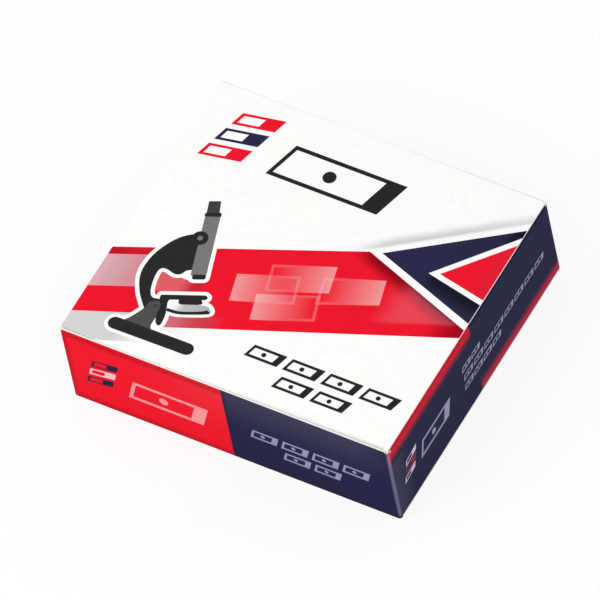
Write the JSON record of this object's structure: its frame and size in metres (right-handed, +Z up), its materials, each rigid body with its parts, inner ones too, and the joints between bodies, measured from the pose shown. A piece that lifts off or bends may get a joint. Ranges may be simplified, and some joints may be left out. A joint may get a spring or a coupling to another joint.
{
  "type": "microscope slide box",
  "caption": "Flat folding carton with a hinged tuck-in lid, holding a row of plain glass microscope slides on edge.",
  "frame": {"origin": "middle of the footprint, on the surface that the carton rests on", "axes": "+X along the front wall, +Y from the front wall to the hinged back wall, +Z up"},
  "size_m": [0.09, 0.08, 0.028],
  "materials": {
    "white_card": "satin",
    "navy_card": "satin",
    "black_ink": "satin",
    "pale_ink": "satin",
    "slide_glass": "polished"
  },
  "bodies": {
    "carton": {"carton_base": "navy_card", "slides": "slide_glass"},
    "top": {"lid": "white_card"}
  },
  "joints": [
    {"name": "lid_hinge", "type": "hinge", "parent": "carton", "child": "top", "pos_m": [0, 0.04, 0.028], "axis": [-1, 0, 0], "range_deg": [0, 180]}
  ]
}
